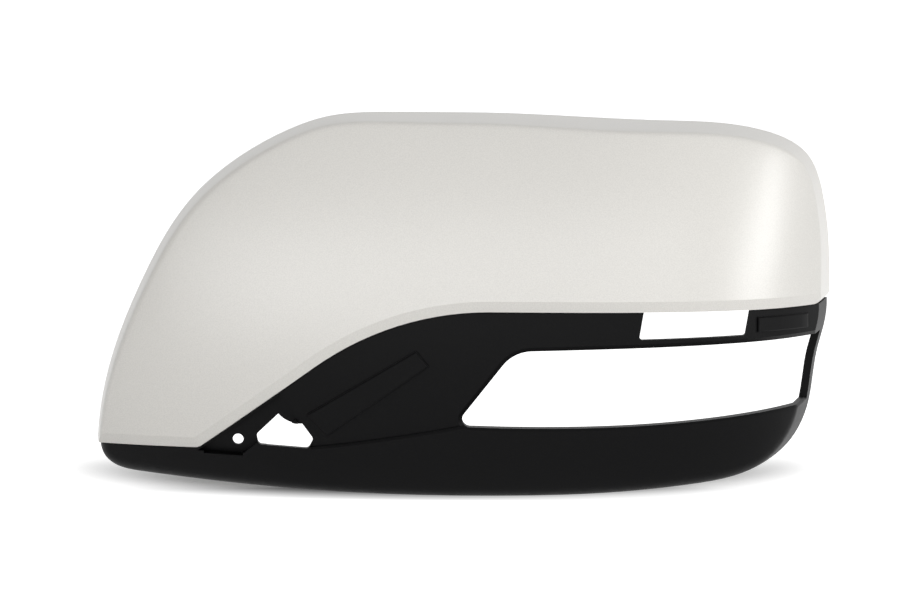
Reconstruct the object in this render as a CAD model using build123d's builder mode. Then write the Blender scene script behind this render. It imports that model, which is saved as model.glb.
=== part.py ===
"""Door mirror cover: a painted upper cap clipped over a moulded lower trim.

X runs outboard, the front of the cover faces -Y, Z is up, and the rear rim lies on Y = 0.
"""

import os
from math import radians, tan

from build123d import *

# Overall size of the cover
COVER_WIDTH = 272.0
COVER_HEIGHT = 140.0
COVER_DEPTH = 72.0

# Walls, edges and the fit between the two mouldings
CAP_WALL = 2.5
CAP_EDGE_RADIUS = 4.0
CAP_CORNER_RADIUS = 2.5
TRIM_WALL = 3.0
TRIM_EDGE_RADIUS = 7.0
TRIM_STEP = 1.0
FIT = 0.3

# How far each wall tucks in on the way to the front: midway and at the front
INBOARD_TUCK = (1.4, 6.0)
OUTBOARD_TUCK = (4.2, 12.0)
TOP_TUCK = (0.3, 2.4)
FOOT_TUCK = (1.0, 5.0)

# The parting line: low at the inboard end, then a rising diagonal, then level
PART_HIGH_Z = 1.4
PART_LOW_Z = -50.8
PART_CORNER_X = -98.0
PART_SLOPE = 36.0
PART_CORNER_RADIUS = 4.0
PART_SWEEP_RADIUS = 110.0
LIP_HEIGHT = 4.0
LIP_DEPTH = 1.4

# Tongue of the trim that laps behind the cap, and the cap lugs that snap into its slots
TONGUE_HEIGHT = 8.0
TONGUE_GAP = 0.8
TONGUE_WALL = 1.8
TONGUE_ROOT = 2.0
LUG_WIDTH = 9.0
LUG_HEIGHT = 2.4
LUG_DEPTH = 2.4
LUG_RISE = 4.0
LUG_PLACES = (-118.0, 20.0, 48.0, 118.0)

# Sunk panel of the trim above the lower band; its shoulder is measured from the parting corner
PANEL_SINK = 1.6
SHOULDER = [(41.5, 1.0), (48.6, 1.8), (96.0, 9.3), (130.0, 15.6), (150.0, 18.0)]
SHOULDER_EDGE = 1.0

# Lamp opening, measured from the outboard side and from the parting line; it runs round the side to a post
LAMP_LENGTH = 139.5
LAMP_BELOW_PART = 11.2
LAMP_HEIGHT = 31.6
LAMP_LEAN = 22.0
LAMP_TOP_FALL = 3.6
LAMP_FOOT_RISE = 8.0
LAMP_FOOT_SAG = 3.4
LAMP_SWEEP_RADIUS = 14.0
LAMP_CORNER_RADIUS = 3.0
LAMP_BEVEL = 1.5
LAMP_FLANGE_WALL = 2.0
LAMP_FLANGE_DEPTH = 9.0
LAMP_POST_DEPTH = 12.0

# Window under the cap edge
WINDOW_WIDTH = 39.0
WINDOW_HEIGHT = 10.2
WINDOW_SIDE = 30.5
WINDOW_LEAN = 1.8
WINDOW_FOOT_RISE = 0.8
WINDOW_RADIUS = 1.0

# Raised pad beside the window, measured from the outboard side and from the parting line
PAD_SIDE = 8.5
PAD_WIDTH = 18.7
PAD_BELOW_PART = 2.8
PAD_HEIGHT = 5.6
PAD_RAISE = 1.2
PAD_EDGE = 0.5

# Raised bar on the panel, corner by corner from the parting corner
BAR_RAISE = 1.6
BAR_EDGE = 0.6
BAR_OUTLINE = [(80.4, 37.5), (85.1, 31.8), (47.5, 5.2), (40.0, 13.2)]

# Fixing tab, its screw hole and its three-cornered window, measured from the parting corner
TAB_DEPTH = 3.2
TAB_WALL = 2.5
TAB_SIDE = [(29.7, 20.5), (33.6, 17.2), (36.2, 11.5)]
TAB_OUTLINE = [(-0.5, -1.2), *TAB_SIDE, (32.0, 8.0), (21.8, 2.5), (19.0, 0.2), (17.0, -1.6)]
TAB_GROOVE = [(2.0, -1.0), (16.5, -1.6), (16.5, -2.7), (2.0, -2.1)]
TAB_GROOVE_DEPTH = 4.2
TAB_HOLE_DIAMETER = 4.0
TAB_HOLE = (14.7, 3.4)
TAB_WINDOW = [(29.6, 13.4), (21.5, 5.5), (22.2, 1.8), (40.7, 0.6), (42.6, 4.2), (38.4, 9.9)]
TAB_WINDOW_SAG = (33.4, 10.6)
TAB_CORNER_RADIUS = 1.8

# Ribs that stiffen the cap inside, and the clip eyes along its rim
RIB_WALL = 1.6
RIB_HEIGHT = 5.0
RIB_START = 15.0
RIB_CLEARANCE = 6.0
RIB_PLACES = (-70.0, -25.0, 20.0, 65.0, 105.0)
EYE_WIDTH = 14.0
EYE_HEIGHT = 10.0
EYE_WALL = 2.2
EYE_INSET = 8.0
EYE_SLOT_WIDTH = 8.0
EYE_SLOT_HEIGHT = 3.0
EYE_SLOT_LINE = 3.5
EYE_PLACES = (-48.0, 0.0, 45.0, 88.0)

HALF_WIDTH = COVER_WIDTH / 2
HALF_HEIGHT = COVER_HEIGHT / 2
CLEAR = 20.0
REACH = 2 * COVER_DEPTH
CORNER = Plane((PART_CORNER_X, 0, PART_LOW_Z), x_dir=(1, 0, 0), z_dir=(0, -1, 0))

# Outline seen from the front, as shares of the half width and half height.
# A slight break in tangent at the inboard and outboard points ends the upper and lower walls there.
INBOARD = (-1.0, -0.74)
TOP = (0.0, 1.0)
OUTBOARD = (1.0, -0.02)
BOTTOM = (0.05, -1.0)
RISING, FALLING, OUTWARD, INWARD = (0, 1), (0, -1), (1, 0), (-1, 0)
RISING_IN, FALLING_IN = (0.04, 1), (-0.04, -1)
OUTLINE = [
    ([BOTTOM, (-0.45, -0.966), (-0.885, -0.885), (-0.97, -0.84), INBOARD], INWARD, RISING),
    ([INBOARD, (-0.88, 0.104), (-0.717, 0.599), (-0.445, 0.936), TOP], RISING_IN, OUTWARD),
    ([TOP, (0.535, 0.958), (0.807, 0.911), (0.943, 0.769), (0.981, 0.573), OUTBOARD], OUTWARD, FALLING),
    ([OUTBOARD, (0.972, -0.27), (0.945, -0.57), (0.872, -0.8), (0.66, -0.936), BOTTOM], FALLING_IN, INWARD),
]

# Front surface: its bow from inboard to outboard and its lean from top to bottom,
# as shares of the half width or half height and of the depth
BOW = [
    (-1.07, -0.32), (-0.735, -0.705), (-0.294, -0.9), (0.147, -0.978),
    (0.625, -0.95), (0.846, -0.747), (0.963, -0.475), (1.07, -0.11),
]
LEAN = [(0.47, 1.17), (0.265, 0.886), (0.0, 0.07), (0.007, -0.43), (0.195, -0.97), (0.42, -1.17)]


def outline(depth, sides, edges, tucks):
    """Front outline at a depth ahead of the rim, drawn in from the sides and the top and bottom.

    The tucks draw it in further at the inboard and outboard sides, the top and the foot.
    """
    inboard, outboard, top, foot = tucks
    half_width = HALF_WIDTH - sides - (inboard + outboard) / 2
    half_height = HALF_HEIGHT - edges - (top + foot) / 2
    across = (inboard - outboard) / 2
    up = (foot - top) / 2
    with BuildSketch(Plane.XZ.offset(depth)) as face:
        with BuildLine():
            for points, start, end in OUTLINE:
                places = [(across + u * half_width, up + w * half_height) for u, w in points]
                Spline(*places, tangents=(start, end))
        make_face()
    return face.sketch.face()


def block(sides=0.0, front=0.0, edges=0.0, behind=0.0, over=0.0):
    """Solid form of the cover, set in by the given amounts.

    It reaches behind the rim, and its walls may stand over those of the cover.
    """
    midway, ahead = zip(INBOARD_TUCK, OUTBOARD_TUCK, TOP_TUCK, FOOT_TUCK)
    half_depth = COVER_DEPTH / 2
    stations = [
        (-behind, sides - over, edges - over, [-tuck * behind / half_depth for tuck in midway]),
        (half_depth, sides - over, edges - over, midway),
        (COVER_DEPTH + CLEAR, sides - over, edges - over, ahead),
    ]
    bow = [(u * (HALF_WIDTH - sides), v * COVER_DEPTH + front) for u, v in BOW]
    lean = [(v * COVER_DEPTH, w * HALF_HEIGHT) for v, w in LEAN]
    with BuildLine() as path:
        Spline(*bow)
    with BuildSketch(Plane(origin=path.line @ 0, x_dir=(0, 1, 0), z_dir=(1, 0, 0))) as section:
        with BuildLine():
            front_line = Spline(*lean)
            rear = REACH + behind
            Polyline(front_line @ 1, (rear, lean[-1][1]), (rear, lean[0][1]), front_line @ 0)
        make_face()
    with BuildPart() as form:
        loft([outline(*station) for station in stations])
        sweep(section.sketch, path=path.line, normal=(1, 0, 0), mode=Mode.INTERSECT)
    return form.part


def inner_block(inset):
    """Form of the space inside the cover at an inset from its outside, open behind the rim."""
    return block(inset, inset, inset, behind=CLEAR)


def foremost(form):
    """The two foremost faces of the trim: the band below the shoulder, then the panel above it."""
    return form.faces().filter_by(GeomType.BSPLINE).sort_by(Axis.Y)[:2].sort_by(Axis.Z)


def lamp_edges(face):
    """Edges of a front face that run along the lamp opening."""
    low = PART_HIGH_Z - LAMP_BELOW_PART - LAMP_HEIGHT - LAMP_CORNER_RADIUS
    high = PART_HIGH_Z - LAMP_BELOW_PART
    edges = face.edges().filter_by_position(Axis.Y, -COVER_DEPTH, -COVER_DEPTH / 2)
    edges = edges.filter_by_position(Axis.Z, low, high)
    return edges.filter_by_position(Axis.X, HALF_WIDTH - LAMP_LENGTH, HALF_WIDTH)


def behind_front(depth):
    """Everything behind the trim's front surface set back by a depth."""
    return block(TRIM_STEP, TRIM_STEP + depth, behind=CLEAR, over=CLEAR / 4)


def parting(low, high):
    """Strip between the parting line moved up by low and by high, run from behind to in front."""
    run = (PART_HIGH_Z - PART_LOW_Z) / tan(radians(PART_SLOPE))
    with BuildPart() as strip:
        with BuildSketch(Plane.XZ.offset(-CLEAR)):
            with BuildLine():
                lines = [
                    FilletPolyline(
                        (-COVER_WIDTH, PART_LOW_Z + rise),
                        (PART_CORNER_X, PART_LOW_Z + rise),
                        (PART_CORNER_X + run, PART_HIGH_Z + rise),
                        (COVER_WIDTH, PART_HIGH_Z + rise),
                        radius=[PART_CORNER_RADIUS, PART_SWEEP_RADIUS],
                    )
                    for rise in (low, high)
                ]
                Line(lines[0] @ 0, lines[1] @ 0)
                Line(lines[0] @ 1, lines[1] @ 1)
            make_face()
        extrude(amount=REACH)
    return strip.part


def column(points):
    """A polygon in front view, measured from the parting corner, run forward through the cover."""
    with BuildPart() as prism:
        with BuildSketch(CORNER):
            with BuildLine():
                Polyline(*points, close=True)
            make_face()
        extrude(amount=REACH)
    return prism.part


def slab(left, right, low, high, near, far):
    """A plain box between two places across, two heights and two depths ahead of the rim."""
    with BuildPart() as box:
        with BuildSketch(Plane.XZ.offset(near)):
            with Locations(((left + right) / 2, (low + high) / 2)):
                Rectangle(right - left, high - low)
        extrude(amount=far - near)
    return box.part


def lamp_opening(grow=0.0):
    """Column through the lamp opening, from the side post to clear of the front."""
    top = PART_HIGH_Z - LAMP_BELOW_PART
    foot = top - LAMP_HEIGHT
    left = HALF_WIDTH - LAMP_LENGTH
    with BuildPart() as opening:
        with BuildSketch(Plane.XZ.offset(LAMP_POST_DEPTH)) as profile:
            with BuildLine():
                sweep_corner = (left + LAMP_LEAN, top - LAMP_TOP_FALL)
                low_right = (HALF_WIDTH, foot + LAMP_FOOT_RISE)
                Polyline((left, foot), sweep_corner, (HALF_WIDTH, top), (HALF_WIDTH + CLEAR, top))
                Polyline((HALF_WIDTH + CLEAR, top), (HALF_WIDTH + CLEAR, low_right[1]), low_right)
                SagittaArc(low_right, (left, foot), LAMP_FOOT_SAG)
            make_face()
            fillet(profile.vertices().sort_by(Axis.X)[1], LAMP_SWEEP_RADIUS)
            fillet(profile.vertices().sort_by(Axis.X)[0], LAMP_CORNER_RADIUS)
            if grow:
                offset(amount=grow)
        extrude(amount=REACH)
    return opening.part


def window_opening():
    """Column through the window that the cap edge closes."""
    right = HALF_WIDTH - WINDOW_SIDE
    left = right - WINDOW_WIDTH
    foot = PART_HIGH_Z - WINDOW_HEIGHT
    head = PART_HIGH_Z + WINDOW_HEIGHT
    with BuildPart() as opening:
        with BuildSketch(Plane.XZ.offset(LAMP_POST_DEPTH)) as profile:
            with BuildLine():
                Polyline(
                    (left - WINDOW_LEAN, foot),
                    (right - WINDOW_LEAN, foot + WINDOW_FOOT_RISE),
                    (right + WINDOW_LEAN, head),
                    (left + WINDOW_LEAN, head),
                    close=True,
                )
            make_face()
            fillet(profile.vertices(), WINDOW_RADIUS)
        extrude(amount=REACH)
    return opening.part


def tab_column(grow=0.0):
    """Column over the fixing tab, grown all round for the wall behind it."""
    with BuildPart() as prism:
        with BuildSketch(CORNER):
            with BuildLine():
                Polyline(*TAB_OUTLINE, close=True)
            make_face()
            if grow:
                offset(amount=grow)
        extrude(amount=REACH)
    return prism.part


def tab_openings():
    """Columns through the screw hole and the three-cornered window of the tab."""
    with BuildPart() as openings:
        with BuildSketch(CORNER) as profile:
            with BuildLine():
                Polyline(*TAB_WINDOW)
                ThreePointArc(TAB_WINDOW[-1], TAB_WINDOW_SAG, TAB_WINDOW[0])
            make_face()
            fillet(profile.vertices().sort_by(Axis.Z)[:-2], TAB_CORNER_RADIUS)
            with Locations(TAB_HOLE):
                Circle(TAB_HOLE_DIAMETER / 2)
        extrude(amount=REACH)
    return openings.part


def lugs(clearance):
    """Snap lugs on the parting line, or the slots for them when given a clearance."""
    with BuildPart() as blocks:
        for place in LUG_PLACES:
            foot = PART_LOW_Z if place < PART_CORNER_X else PART_HIGH_Z
            add(slab(
                place - LUG_WIDTH / 2 - clearance, place + LUG_WIDTH / 2 + clearance,
                foot + LUG_RISE - clearance, foot + LUG_RISE + LUG_HEIGHT + clearance,
                CLEAR, REACH,
            ))
    return blocks.part


os.makedirs("parts", exist_ok=True)

# Upper cap: an open shell with a chamfered lower lip and a rounded crease round its front
rib_foot = PART_HIGH_Z + TONGUE_HEIGHT + RIB_CLEARANCE
with BuildPart() as ribs:
    for place in RIB_PLACES:
        add(slab(place - RIB_WALL / 2, place + RIB_WALL / 2, rib_foot, HALF_HEIGHT, RIB_START, COVER_DEPTH))
    add(inner_block(CAP_WALL + RIB_HEIGHT), mode=Mode.SUBTRACT)

with BuildPart() as eye_slots:
    for place in EYE_PLACES:
        left, right = place - EYE_SLOT_WIDTH / 2, place + EYE_SLOT_WIDTH / 2
        add(slab(left, right, 0, HALF_HEIGHT, 0, 2 * EYE_INSET))
    add(inner_block(CAP_WALL + EYE_SLOT_LINE), mode=Mode.INTERSECT)
    add(inner_block(CAP_WALL + EYE_SLOT_LINE + EYE_SLOT_HEIGHT), mode=Mode.SUBTRACT)

with BuildPart() as eyes:
    for place in EYE_PLACES:
        left, right = place - EYE_WIDTH / 2, place + EYE_WIDTH / 2
        add(slab(left, right, 0, HALF_HEIGHT, EYE_INSET, EYE_INSET + EYE_WALL))
    add(inner_block(CAP_WALL + EYE_HEIGHT), mode=Mode.SUBTRACT)
    add(eye_slots.part, mode=Mode.SUBTRACT)

with BuildPart() as cap_lugs:
    add(lugs(0))
    add(inner_block(CAP_WALL + LUG_DEPTH), mode=Mode.SUBTRACT)

with BuildPart() as cap_fittings:
    add(ribs.part)
    add(eyes.part)
    add(cap_lugs.part)
    add(block(CAP_WALL / 2, CAP_WALL / 2, CAP_WALL / 2), mode=Mode.INTERSECT)

with BuildPart() as upper_cap:
    add(block())
    add(parting(0, 2 * COVER_HEIGHT), mode=Mode.INTERSECT)
    front = upper_cap.faces().filter_by(GeomType.BSPLINE).sort_by(SortBy.AREA)[-1]
    walls = upper_cap.faces().filter_by(GeomType.BSPLINE) - [front]
    chamfer(front.edges() - walls.edges(), length=LIP_HEIGHT, length2=LIP_DEPTH, reference=front)
    front = upper_cap.faces().filter_by(GeomType.BSPLINE).sort_by(SortBy.AREA)[-1]
    fillet(front.edges().sort_by(SortBy.LENGTH)[-1], CAP_EDGE_RADIUS)
    under = upper_cap.faces().filter_by(Plane.XY).sort_by(Axis.X)[-1]
    fillet(under.edges().sort_by(Axis.X)[-1], CAP_CORNER_RADIUS)
    add(inner_block(CAP_WALL), mode=Mode.SUBTRACT)
    add(cap_fittings.part)

upper_cap.part.label = "upper_cap"
export_step(upper_cap.part, "parts/upper_cap.step")

# Lower trim: an open tray with a sunk panel, a fixing tab and the lamp opening
inside = TRIM_STEP + PANEL_SINK + TRIM_WALL
side = TRIM_STEP + TRIM_WALL
seat = CAP_WALL + TONGUE_GAP
tongue_inside = seat + TONGUE_WALL

with BuildPart() as panel_relief:
    tab_side = [(across - FIT, up) for across, up in TAB_SIDE]
    with BuildSketch(CORNER):
        with BuildLine():
            shoulder = Spline(*SHOULDER)
            Polyline(
                shoulder @ 1,
                (COVER_WIDTH, SHOULDER[-1][1]),
                (COVER_WIDTH, COVER_HEIGHT),
                (tab_side[0][0], COVER_HEIGHT),
                *tab_side,
                shoulder @ 0,
            )
        make_face()
    extrude(amount=REACH)
    add(behind_front(PANEL_SINK), mode=Mode.SUBTRACT)

with BuildPart() as tab_relief:
    add(tab_column())
    add(behind_front(TAB_DEPTH), mode=Mode.SUBTRACT)

with BuildPart() as tab_groove:
    add(column(TAB_GROOVE))
    add(behind_front(TAB_GROOVE_DEPTH), mode=Mode.SUBTRACT)

with BuildPart() as hollow:
    add(block(side, inside, TRIM_WALL, behind=CLEAR))
    add(tab_column(TAB_WALL), mode=Mode.SUBTRACT)
    add(lamp_opening(LAMP_FLANGE_WALL), mode=Mode.SUBTRACT)

with BuildPart() as tab_hollow:
    add(block(side, TRIM_STEP + TAB_DEPTH + TAB_WALL, TRIM_WALL, behind=CLEAR))
    add(tab_column(TAB_WALL), mode=Mode.INTERSECT)

with BuildPart() as flange_hollow:
    add(block(side, TRIM_STEP + LAMP_FLANGE_DEPTH, TRIM_WALL, behind=CLEAR))
    add(lamp_opening(LAMP_FLANGE_WALL), mode=Mode.INTERSECT)

with BuildPart() as tongue:
    add(block(seat, seat, seat))
    add(block(tongue_inside, inside, tongue_inside, behind=CLEAR), mode=Mode.SUBTRACT)
    add(window_opening(), mode=Mode.SUBTRACT)
    add(lugs(FIT), mode=Mode.SUBTRACT)
    add(parting(-FIT - TONGUE_ROOT, TONGUE_HEIGHT), mode=Mode.INTERSECT)

with BuildPart() as bar:
    add(column(BAR_OUTLINE))
    add(block(TRIM_STEP, TRIM_STEP + PANEL_SINK - BAR_RAISE), mode=Mode.INTERSECT)
    front = bar.faces().filter_by(GeomType.BSPLINE).sort_by(SortBy.AREA)[-1]
    chamfer(front.edges(), BAR_EDGE)
    add(behind_front(PANEL_SINK + TRIM_WALL / 2), mode=Mode.SUBTRACT)

with BuildPart() as pad:
    right, top = HALF_WIDTH - PAD_SIDE, PART_HIGH_Z - PAD_BELOW_PART
    add(slab(right - PAD_WIDTH, right, top - PAD_HEIGHT, top, 0, REACH))
    add(block(TRIM_STEP, TRIM_STEP + PANEL_SINK - PAD_RAISE), mode=Mode.INTERSECT)
    front = pad.faces().filter_by(GeomType.BSPLINE).sort_by(SortBy.AREA)[-1]
    chamfer(front.edges(), PAD_EDGE)
    add(behind_front(PANEL_SINK + TRIM_WALL / 2), mode=Mode.SUBTRACT)

with BuildPart() as lower_trim:
    add(block(TRIM_STEP, TRIM_STEP))
    front = lower_trim.faces().filter_by(GeomType.BSPLINE).sort_by(SortBy.AREA)[-1]
    fillet(front.edges().sort_by(Axis.Z)[0], TRIM_EDGE_RADIUS)
    add(panel_relief.part, mode=Mode.SUBTRACT)
    add(lamp_opening(), mode=Mode.SUBTRACT)
    band = foremost(lower_trim)[0]
    wall = lower_trim.faces().filter_by(GeomType.EXTRUSION)[0]
    chamfer((band.edges() & wall.edges()) + lamp_edges(band), SHOULDER_EDGE)
    panel = foremost(lower_trim)[1]
    chamfer(lamp_edges(panel), LAMP_BEVEL)
    add(window_opening(), mode=Mode.SUBTRACT)
    add(tab_relief.part, mode=Mode.SUBTRACT)
    add(tab_groove.part, mode=Mode.SUBTRACT)
    add(hollow.part, mode=Mode.SUBTRACT)
    add(tab_hollow.part, mode=Mode.SUBTRACT)
    add(flange_hollow.part, mode=Mode.SUBTRACT)
    add(bar.part)
    add(pad.part)
    add(parting(-COVER_HEIGHT, -FIT), mode=Mode.INTERSECT)
    add(tongue.part)
    add(tab_openings(), mode=Mode.SUBTRACT)

lower_trim.part.label = "lower_trim"
export_step(lower_trim.part, "parts/lower_trim.step")
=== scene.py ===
"""Dresses the door mirror cover: pearl paint on the cap, grained black plastic on the trim, in a white studio.

X runs outboard, the front of the cover faces -Y, Z is up. Everything is in metres.
"""

import math

import bmesh
import bpy
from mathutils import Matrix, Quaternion, Vector


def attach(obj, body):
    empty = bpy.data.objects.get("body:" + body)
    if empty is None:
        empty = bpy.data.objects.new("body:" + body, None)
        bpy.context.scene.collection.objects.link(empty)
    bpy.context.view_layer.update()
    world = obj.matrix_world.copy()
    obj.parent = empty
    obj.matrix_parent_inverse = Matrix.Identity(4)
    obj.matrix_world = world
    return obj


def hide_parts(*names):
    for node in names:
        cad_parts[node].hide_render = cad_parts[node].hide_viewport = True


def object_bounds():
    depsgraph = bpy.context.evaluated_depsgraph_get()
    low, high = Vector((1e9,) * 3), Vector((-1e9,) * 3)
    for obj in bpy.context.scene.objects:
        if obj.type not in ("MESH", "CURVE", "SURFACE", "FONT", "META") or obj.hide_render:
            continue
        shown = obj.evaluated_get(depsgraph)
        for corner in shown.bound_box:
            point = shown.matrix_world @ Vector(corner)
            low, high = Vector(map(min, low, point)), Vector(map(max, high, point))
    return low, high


MM = 0.001
WHITE = (1.0, 1.0, 1.0, 1.0)

# Mouldings: corners that are joined, and the angle between faces past which an edge stays crisp
MERGE_DISTANCE = 0.01 * MM
CAP_CRISP_ANGLE = math.radians(12)
TRIM_CRISP_ANGLE = math.radians(20)

# Pearl paint: flake in waves per metre, its two shades, and the gloss of base and clear coat
FLAKE_SCALE = 2600.0
FLAKE_DETAIL = 1.0
FLAKE_SHADES = [(0.30, (0.725, 0.707, 0.666)), (0.70, (0.805, 0.785, 0.741))]
PEARL_GLOSS = {
    "Roughness": 0.4,
    "Specular IOR Level": 0.3,
    "Coat Weight": 0.5,
    "Coat Roughness": 0.4,
    "Coat IOR": 2.4,
}

# Black plastic: moulded grain in waves per metre, its two shades, its relief, and the gloss
GRAIN_SCALE = 2200.0
GRAIN_DETAIL = 3.0
GRAIN_SHADES = [(0.35, (0.0018, 0.0018, 0.002)), (0.65, (0.0034, 0.0034, 0.0037))]
GRAIN_STRENGTH = 0.25
GRAIN_DEPTH = 0.08 * MM
PLASTIC_GLOSS = {"Roughness": 0.48, "Specular IOR Level": 0.085}

# Floor: white paper that gives up its own glow in an oval round the cover's foot and behind it. This is painted
# shade: the real shadow shows there, but the paper there is also darker than that shadow alone would make it
FLOOR_SIZE = 8.0
FLOOR_SHADE = (0.85, 0.85, 0.85, 1.0)
FLOOR_GLOSS = {"Roughness": 1.0, "Specular IOR Level": 0.0}
FLOOR_GLOW = 0.0
PAINTED_SHADOW_CENTRE = (-0.008, 0.078)
PAINTED_SHADOW_HALF_SIZE = (0.140, 0.123)
PAINTED_SHADOW_FADE = (0.7, 1.15)
PAINTED_SHADOW_BACK = (0.02, 0.18)
PAINTED_SHADOW_CORNER = 0.3

# Studio light: even light from all round, and soft boxes as name, place, size, watts and roll
WORLD_LEVEL = 0.2
SOFT_BOXES = [
    ("key_strip", (1.45, -0.52, 0.40), (0.45, 1.3), 10.0, math.radians(-55)),
    ("front_box", (0.0, -2.4, 0.7), (2.8, 1.7), 20.4, 0.0),
    ("top_box", (0.1, -0.5, 1.6), (2.0, 1.6), 2.8, 0.0),
    ("left_box", (-1.2, -1.8, 0.35), (1.2, 1.2), 7.0, 0.0),
]

# Camera: how much of the cover's plane the picture takes in, and where it looks from
IMAGE_WIDTH_MM = 340.4
VIEW_CENTRE_MM = (-1.3, -36.0, 0.7)
VIEW_ELEVATION = math.radians(5.0)
VIEW_DISTANCE = 9.0
SENSOR_WIDTH_MM = 36.0

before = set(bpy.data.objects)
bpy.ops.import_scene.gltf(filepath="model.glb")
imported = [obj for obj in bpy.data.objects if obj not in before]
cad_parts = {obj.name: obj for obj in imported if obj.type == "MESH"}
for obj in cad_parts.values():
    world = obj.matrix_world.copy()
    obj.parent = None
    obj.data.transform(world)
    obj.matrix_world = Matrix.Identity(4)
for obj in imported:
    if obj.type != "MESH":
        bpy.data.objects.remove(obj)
cad_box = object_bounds()
floor_height = cad_box[0][2]


def link(item):
    """Puts an object into the scene."""
    bpy.context.scene.collection.objects.link(item)


# Finishes


def new_material(name, gloss):
    """A node material with its tree and its Principled shader, whose even values are set."""
    material = bpy.data.materials.new(name)
    material.use_nodes = True
    tree = material.node_tree
    shader = tree.nodes["Principled BSDF"]
    for socket, value in gloss.items():
        shader.inputs[socket].default_value = value
    return material, tree, shader


def object_coordinates(tree):
    """The socket that gives a piece's own coordinates."""
    return tree.nodes.new("ShaderNodeTexCoord").outputs["Object"]


def noise(tree, scale, detail):
    """Noise over the piece, with a scale in waves per metre."""
    node = tree.nodes.new("ShaderNodeTexNoise")
    node.inputs["Scale"].default_value = scale
    node.inputs["Detail"].default_value = detail
    tree.links.new(object_coordinates(tree), node.inputs["Vector"])
    return node.outputs["Fac"]


def ramp(tree, factor, stops):
    """A colour ramp over a factor, through two stops of place and colour."""
    node = tree.nodes.new("ShaderNodeValToRGB")
    for element, (place, colour) in zip(node.color_ramp.elements, stops):
        element.position = place
        element.color = (*colour, 1.0)
    tree.links.new(factor, node.inputs["Fac"])
    return node.outputs["Color"]


def bump(tree, height, strength, distance):
    """A bump normal from a height."""
    node = tree.nodes.new("ShaderNodeBump")
    node.inputs["Strength"].default_value = strength
    node.inputs["Distance"].default_value = distance
    tree.links.new(height, node.inputs["Height"])
    return node.outputs["Normal"]


def pearl_paint():
    """Warm white paint with fine pearl flake under a clear coat."""
    material, tree, shader = new_material("pearl_paint", PEARL_GLOSS)
    flake = noise(tree, FLAKE_SCALE, FLAKE_DETAIL)
    tree.links.new(ramp(tree, flake, FLAKE_SHADES), shader.inputs["Base Color"])
    return material


def black_plastic():
    """Satin black plastic with a fine moulded grain."""
    material, tree, shader = new_material("black_plastic", PLASTIC_GLOSS)
    grain = noise(tree, GRAIN_SCALE, GRAIN_DETAIL)
    tree.links.new(ramp(tree, grain, GRAIN_SHADES), shader.inputs["Base Color"])
    tree.links.new(bump(tree, grain, GRAIN_STRENGTH, GRAIN_DEPTH), shader.inputs["Normal"])
    return material


# Mouldings


def merged_copy(node, name, crisp_angle):
    """A copy of a CAD node with its triangles joined, smooth up to an angle between faces."""
    mesh = node.data.copy()
    joined = bmesh.new()
    joined.from_mesh(mesh)
    bmesh.ops.remove_doubles(joined, verts=joined.verts, dist=MERGE_DISTANCE)
    joined.to_mesh(mesh)
    joined.free()
    if "custom_normal" in mesh.attributes:
        mesh.attributes.remove(mesh.attributes["custom_normal"])
    mesh.shade_smooth()
    mesh.set_sharp_from_angle(angle=crisp_angle)
    piece = bpy.data.objects.new(name, mesh)
    link(piece)
    return piece


def dress(node_name, piece_name, material, crisp_angle):
    """Stands a dressed copy of a CAD node in its place."""
    piece = merged_copy(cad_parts[node_name], piece_name, crisp_angle)
    piece.data.materials.clear()
    piece.data.materials.append(material)
    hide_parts(node_name)
    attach(piece, "root")


dress("upper_cap", "cap_shell", pearl_paint(), CAP_CRISP_ANGLE)
dress("lower_trim", "trim_tray", black_plastic(), TRIM_CRISP_ANGLE)


# Studio


def join(tree, operation, first, second):
    """Two numbers joined by one operation."""
    node = tree.nodes.new("ShaderNodeMath")
    node.operation = operation
    tree.links.new(first, node.inputs[0])
    tree.links.new(second, node.inputs[1])
    return node.outputs[0]


def seen_rays(tree):
    """A factor of 1 for what the camera sees straight, in a reflection or through glass."""
    path = tree.nodes.new("ShaderNodeLightPath")
    mirrored = join(tree, "MAXIMUM", path.outputs["Is Glossy Ray"], path.outputs["Is Transmission Ray"])
    return join(tree, "MAXIMUM", path.outputs["Is Camera Ray"], mirrored)


def white_world():
    """Even studio light, white where it is seen."""
    world = bpy.data.worlds.new("studio")
    bpy.context.scene.world = world
    world.use_nodes = True
    tree = world.node_tree
    backdrop = tree.nodes["Background"]
    backdrop.inputs["Color"].default_value = WHITE
    level = tree.nodes.new("ShaderNodeMapRange")
    level.inputs["To Min"].default_value = WORLD_LEVEL
    level.inputs["To Max"].default_value = 1.0
    tree.links.new(seen_rays(tree), level.inputs["Value"])
    tree.links.new(level.outputs["Result"], backdrop.inputs["Strength"])


def paper_glow(tree, value, fade):
    """How bright the paper shows of itself, rising over a range of the value."""
    glow = tree.nodes.new("ShaderNodeMapRange")
    glow.interpolation_type = "SMOOTHSTEP"
    glow.inputs["From Min"].default_value, glow.inputs["From Max"].default_value = fade
    glow.inputs["To Min"].default_value = FLOOR_GLOW
    glow.inputs["To Max"].default_value = 1.0
    tree.links.new(value, glow.inputs["Value"])
    return glow.outputs["Result"]


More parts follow.
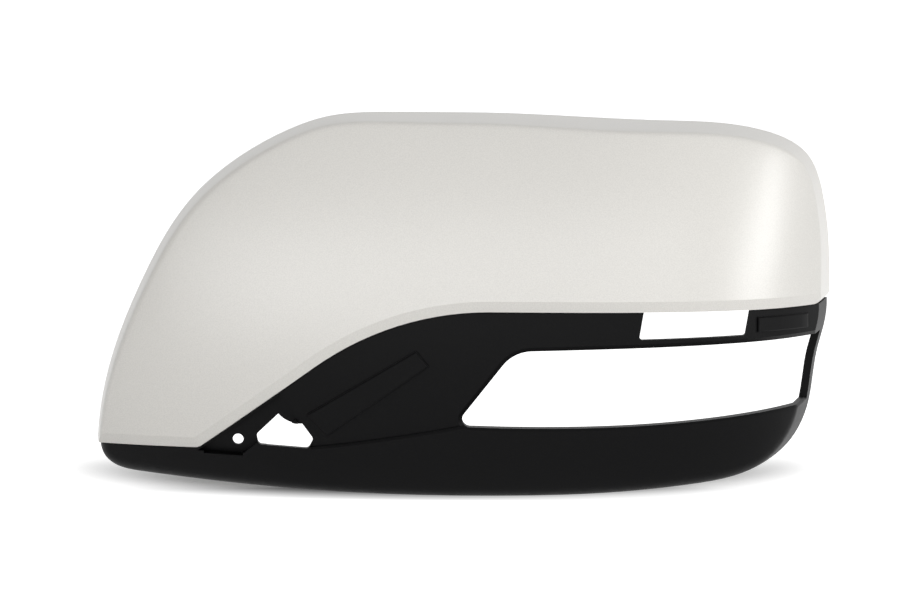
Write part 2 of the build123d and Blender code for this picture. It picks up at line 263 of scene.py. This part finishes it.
def floor_paper():
    """White paper: round its foot its glow drops, a painted shade under which the cover's real shadow shows;
    further away it is plain white.
    """
    material, tree, shader = new_material("floor_paper", FLOOR_GLOSS)
    shader.inputs["Base Color"].default_value = FLOOR_SHADE
    shader.inputs["Emission Color"].default_value = WHITE
    oval = tree.nodes.new("ShaderNodeMapping")
    oval.vector_type = "TEXTURE"
    oval.inputs["Location"].default_value = (*PAINTED_SHADOW_CENTRE, floor_height)
    oval.inputs["Scale"].default_value = (*PAINTED_SHADOW_HALF_SIZE, 1.0)
    place = object_coordinates(tree)
    tree.links.new(place, oval.inputs["Vector"])
    distance = tree.nodes.new("ShaderNodeVectorMath")
    distance.operation = "LENGTH"
    tree.links.new(oval.outputs["Vector"], distance.inputs[0])
    split = tree.nodes.new("ShaderNodeSeparateXYZ")
    tree.links.new(place, split.inputs["Vector"])
    # Painted shade: the glow falls away inside the oval and towards the cover's back, darkening the paper there
    # beyond its real shadow
    around = paper_glow(tree, distance.outputs["Value"], PAINTED_SHADOW_FADE)
    behind = paper_glow(tree, split.outputs["Y"], PAINTED_SHADOW_BACK)
    glow = join(tree, "SMOOTH_MAX", around, behind)
    glow.node.inputs[2].default_value = PAINTED_SHADOW_CORNER
    seen = join(tree, "MULTIPLY", glow, seen_rays(tree))
    tree.links.new(seen, shader.inputs["Emission Strength"])
    return material


def white_floor():
    """The floor that the cover stands on."""
    shape = bmesh.new()
    bmesh.ops.create_grid(shape, x_segments=1, y_segments=1, size=FLOOR_SIZE)
    bmesh.ops.translate(shape, verts=shape.verts, vec=(0, 0, floor_height))
    mesh = bpy.data.meshes.new("floor")
    shape.to_mesh(mesh)
    shape.free()
    mesh.materials.append(floor_paper())
    floor = bpy.data.objects.new("floor", mesh)
    link(floor)


def soft_box(name, place, size, power, roll):
    """A soft box at a place, turned to the cover and rolled about that line."""
    light = bpy.data.lights.new(name, "AREA")
    light.shape = "RECTANGLE"
    light.size, light.size_y = size
    light.energy = power
    lamp = bpy.data.objects.new(name, light)
    lamp.location = place
    turn = (-lamp.location).to_track_quat("-Z", "Y") @ Quaternion((0.0, 0.0, 1.0), roll)
    lamp.rotation_euler = turn.to_euler()
    link(lamp)


def view_camera():
    """The camera at the photograph's angle."""
    away = Vector((0.0, -math.cos(VIEW_ELEVATION), math.sin(VIEW_ELEVATION)))
    view = bpy.data.cameras.new("view")
    view.sensor_width = SENSOR_WIDTH_MM
    view.lens = SENSOR_WIDTH_MM * VIEW_DISTANCE / (IMAGE_WIDTH_MM * MM)
    camera = bpy.data.objects.new("view", view)
    camera.location = Vector(VIEW_CENTRE_MM) * MM + away * VIEW_DISTANCE
    camera.rotation_euler = (-away).to_track_quat("-Z", "Y").to_euler()
    link(camera)
    bpy.context.scene.camera = camera


white_world()
white_floor()
for box in SOFT_BOXES:
    soft_box(*box)
view_camera()
bpy.context.scene.view_settings.view_transform = "Standard"
